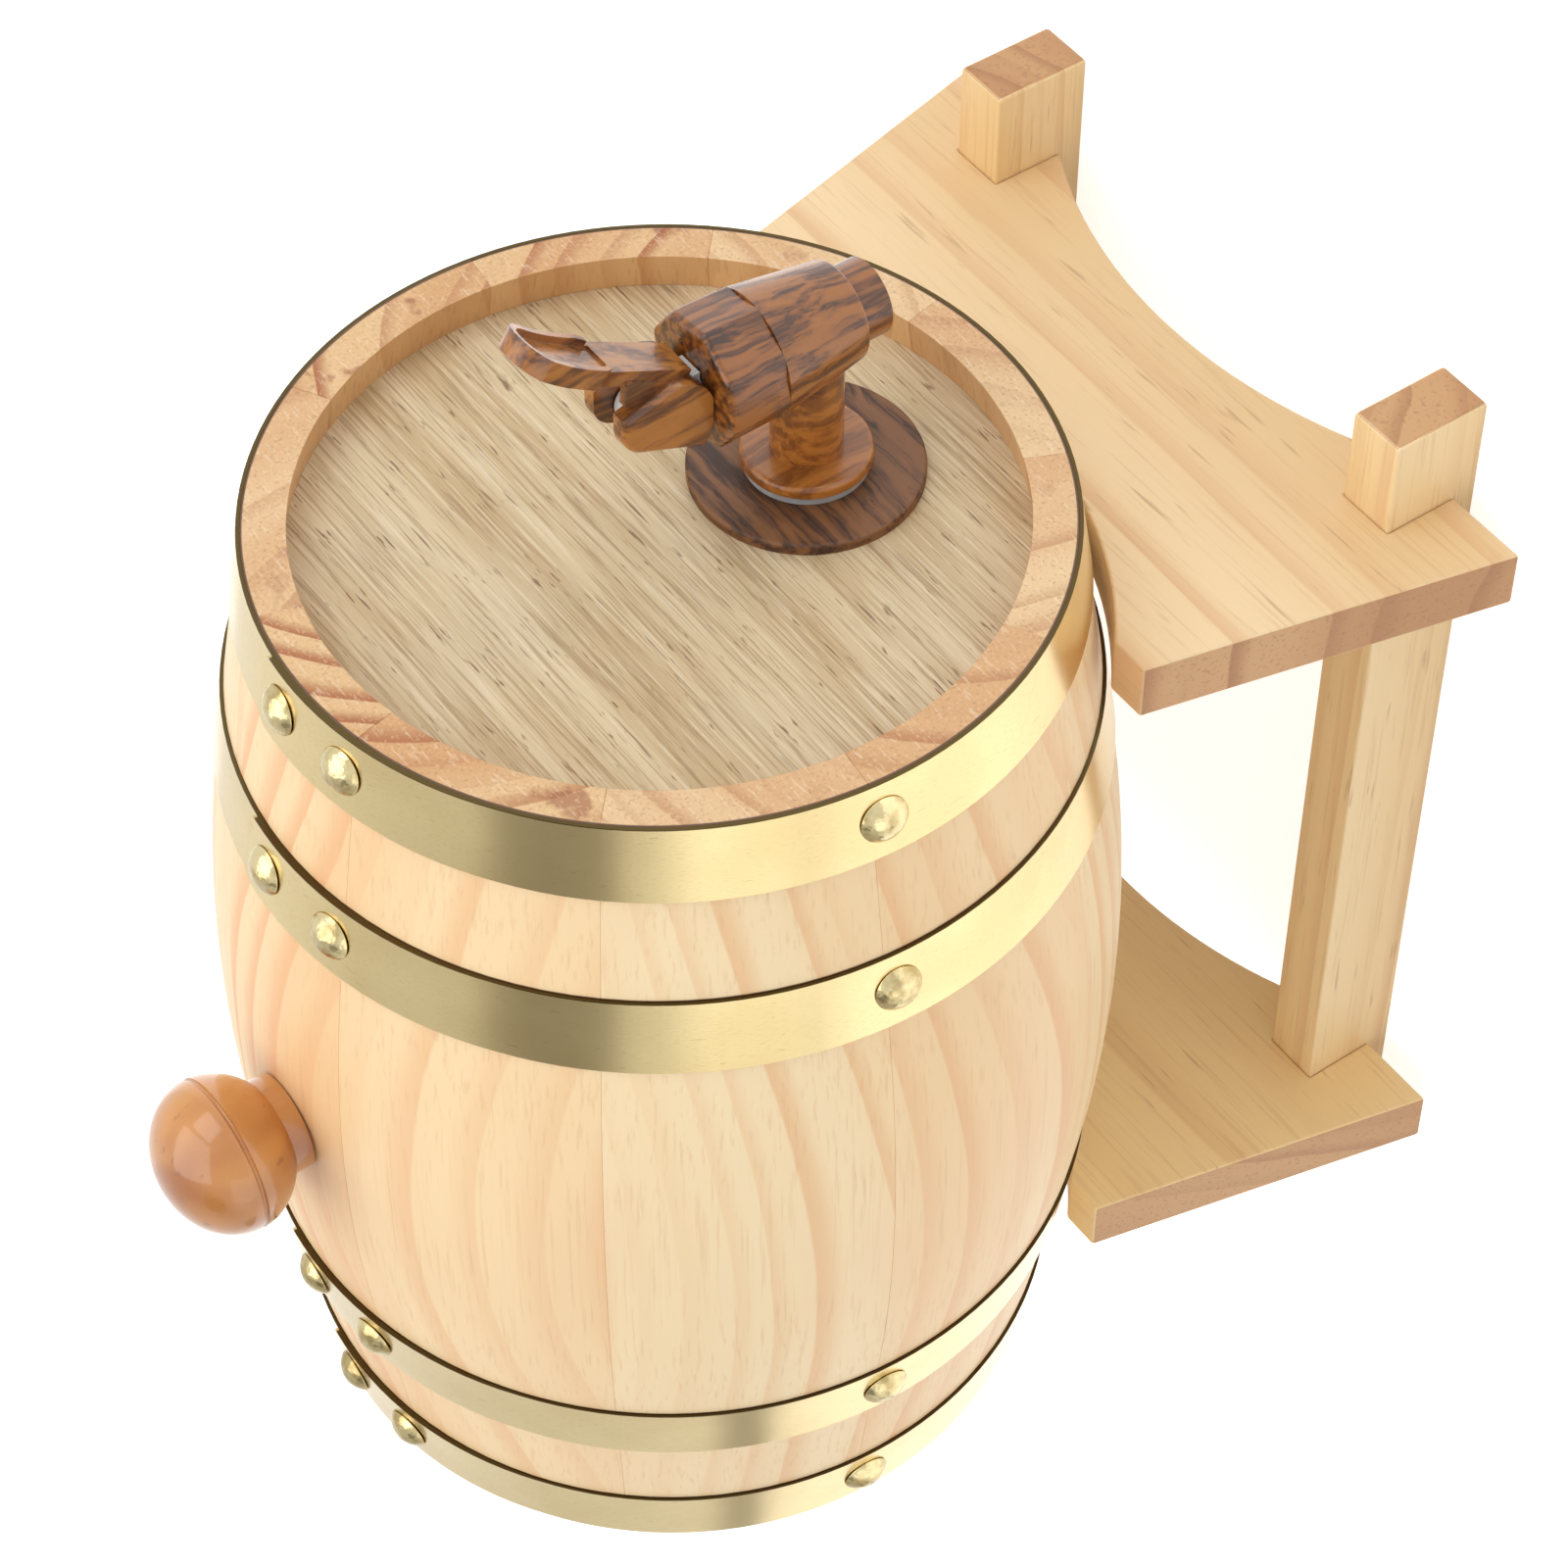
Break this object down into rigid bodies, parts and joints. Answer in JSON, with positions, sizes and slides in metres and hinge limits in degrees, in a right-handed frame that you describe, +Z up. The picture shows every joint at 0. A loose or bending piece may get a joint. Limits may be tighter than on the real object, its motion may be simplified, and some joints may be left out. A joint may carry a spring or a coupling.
{
  "type": "cask liquor dispenser",
  "caption": "Small wooden cask on its side on a cradle, with hoops, a pull-out bung and a push lever tap in the front head.",
  "frame": {"origin": "on the table, under the middle of the object's box", "axes": "+X to the object's left seen from the tap, -Y out of the front head towards the user, +Z up, cask axis along Y"},
  "size_m": [0.169, 0.2654, 0.2437],
  "materials": {
    "pine_stave": "satin",
    "head_wood": "oiled",
    "brass_hoop": "brushed",
    "brass_nail": "polished",
    "varnished_wood": "gloss",
    "woodgrain_plastic": "gloss",
    "dark_plate": "satin",
    "grey_silicone": "matte",
    "white_plastic": "satin",
    "stand_pine": "satin"
  },
  "bodies": {
    "stand": {"front_cradle": "stand_pine", "rear_cradle": "stand_pine", "left_rail": "stand_pine", "right_rail": "stand_pine"},
    "cask": {"stave_01": "pine_stave", "stave_02": "pine_stave", "stave_03": "pine_stave", "stave_04": "pine_stave", "stave_05": "pine_stave", "stave_06": "pine_stave", "stave_07": "pine_stave", "stave_08": "pine_stave", "stave_09": "pine_stave", "stave_10": "pine_stave", "front_head": "head_wood", "rear_head": "head_wood", "front_chime_hoop": "brass_hoop", "front_quarter_hoop": "brass_hoop", "rear_quarter_hoop": "brass_hoop", "rear_chime_hoop": "brass_hoop", "front_chime_nails": "brass_nail", "front_quarter_nails": "brass_nail", "rear_quarter_nails": "brass_nail", "rear_chime_nails": "brass_nail", "tap_escutcheon": "dark_plate", "tap_washer": "grey_silicone", "tap_gasket": "grey_silicone", "tap_lock_nut": "white_plastic", "tap_body": "woodgrain_plastic", "tap_cap": "woodgrain_plastic", "tap_seat_cup": "grey_silicone"},
    "bung": {"bung": "varnished_wood"},
    "stem": {"tap_stem": "white_plastic"},
    "lever": {"tap_lever": "woodgrain_plastic"}
  },
  "joints": [
    {"name": "cask_lift", "type": "slide", "parent": "stand", "child": "cask", "axis": [0, 0, 1], "range_m": [0, 0.12]},
    {"name": "bung_pull", "type": "slide", "parent": "cask", "child": "bung", "axis": [0, 0, 1], "range_m": [0, 0.04]},
    {"name": "stem_lift", "type": "slide", "parent": "cask", "child": "stem", "axis": [0, 0, 1], "range_m": [0, 0.00202], "deforming": ["tap_seat_cup"]},
    {"name": "lever_push", "type": "hinge", "parent": "stem", "child": "lever", "pos_m": [0, -0.10345, 0.1343], "axis": [-1, 0, 0], "range_deg": [0, 40], "stiffness_Nm_per_rad": 0.05, "springref_deg": -20.05}
  ],
  "couplings": [
    {"joint": "lever_push", "follows": "stem_lift", "rad_per_m": 344.83}
  ]
}
